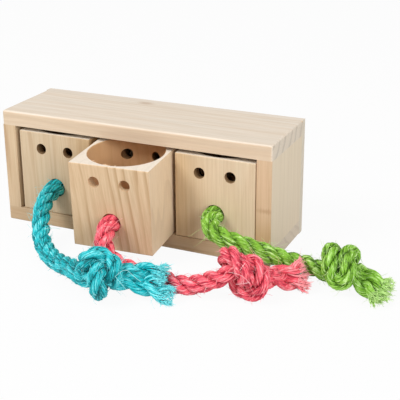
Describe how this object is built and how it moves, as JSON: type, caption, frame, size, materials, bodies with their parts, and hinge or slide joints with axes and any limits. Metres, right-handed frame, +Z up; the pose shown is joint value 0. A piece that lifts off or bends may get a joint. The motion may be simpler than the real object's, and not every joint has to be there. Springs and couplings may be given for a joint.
{
  "type": "three-drawer treat box",
  "caption": "Open-fronted pine case with pull-out block drawers, each with a bored treat cup, air holes and a knotted sisal pull rope.",
  "frame": {"origin": "centre of the case's underside, on the surface it stands on", "axes": "+X along the case to the viewer's right, +Y from the open front to the back panel, +Z up; the drawers pull out along -Y"},
  "size_m": [0.2742, 0.1583, 0.08],
  "materials": {
    "pine_case": "planed pine, untreated",
    "pine_drawer": "planed pine, untreated, bored",
    "brad_steel": "bright wire brads",
    "dowel_beech": "fluted beech dowel",
    "sisal_teal": "dyed three-strand sisal, hairy",
    "sisal_pink": "dyed three-strand sisal, hairy",
    "sisal_green": "dyed three-strand sisal, hairy"
  },
  "bodies": {
    "case": {"top_board": "pine_case", "bottom_board": "pine_case", "left_side": "pine_case", "right_side": "pine_case", "back_panel": "pine_case", "base_brads": "brad_steel", "back_brads": "brad_steel", "top_dowels": "dowel_beech"},
    "left_unit": {"left_drawer": "pine_drawer", "teal_stopper_knot": "sisal_teal", "teal_rope": "sisal_teal", "teal_knot": "sisal_teal", "teal_tail": "sisal_teal"},
    "middle_unit": {"middle_drawer": "pine_drawer", "pink_stopper_knot": "sisal_pink", "pink_rope": "sisal_pink", "pink_knot": "sisal_pink", "pink_tail": "sisal_pink"},
    "right_unit": {"right_drawer": "pine_drawer", "green_stopper_knot": "sisal_green", "green_rope": "sisal_green", "green_knot": "sisal_green", "green_tail": "sisal_green"}
  },
  "joints": [
    {"name": "left_drawer_slide", "type": "slide", "parent": "case", "child": "left_unit", "axis": [0, -1, 0], "range_m": [0, 0.0567], "deforming": ["teal_rope", "teal_knot", "teal_tail"]},
    {"name": "middle_drawer_slide", "type": "slide", "parent": "case", "child": "middle_unit", "axis": [0, -0.999, -0.0446], "range_m": [-0.0331, 0.0236], "deforming": ["pink_rope", "pink_knot", "pink_tail"]},
    {"name": "right_drawer_slide", "type": "slide", "parent": "case", "child": "right_unit", "axis": [0, -1, 0], "range_m": [-0.0004, 0.0563], "deforming": ["green_rope", "green_knot", "green_tail"]}
  ]
}
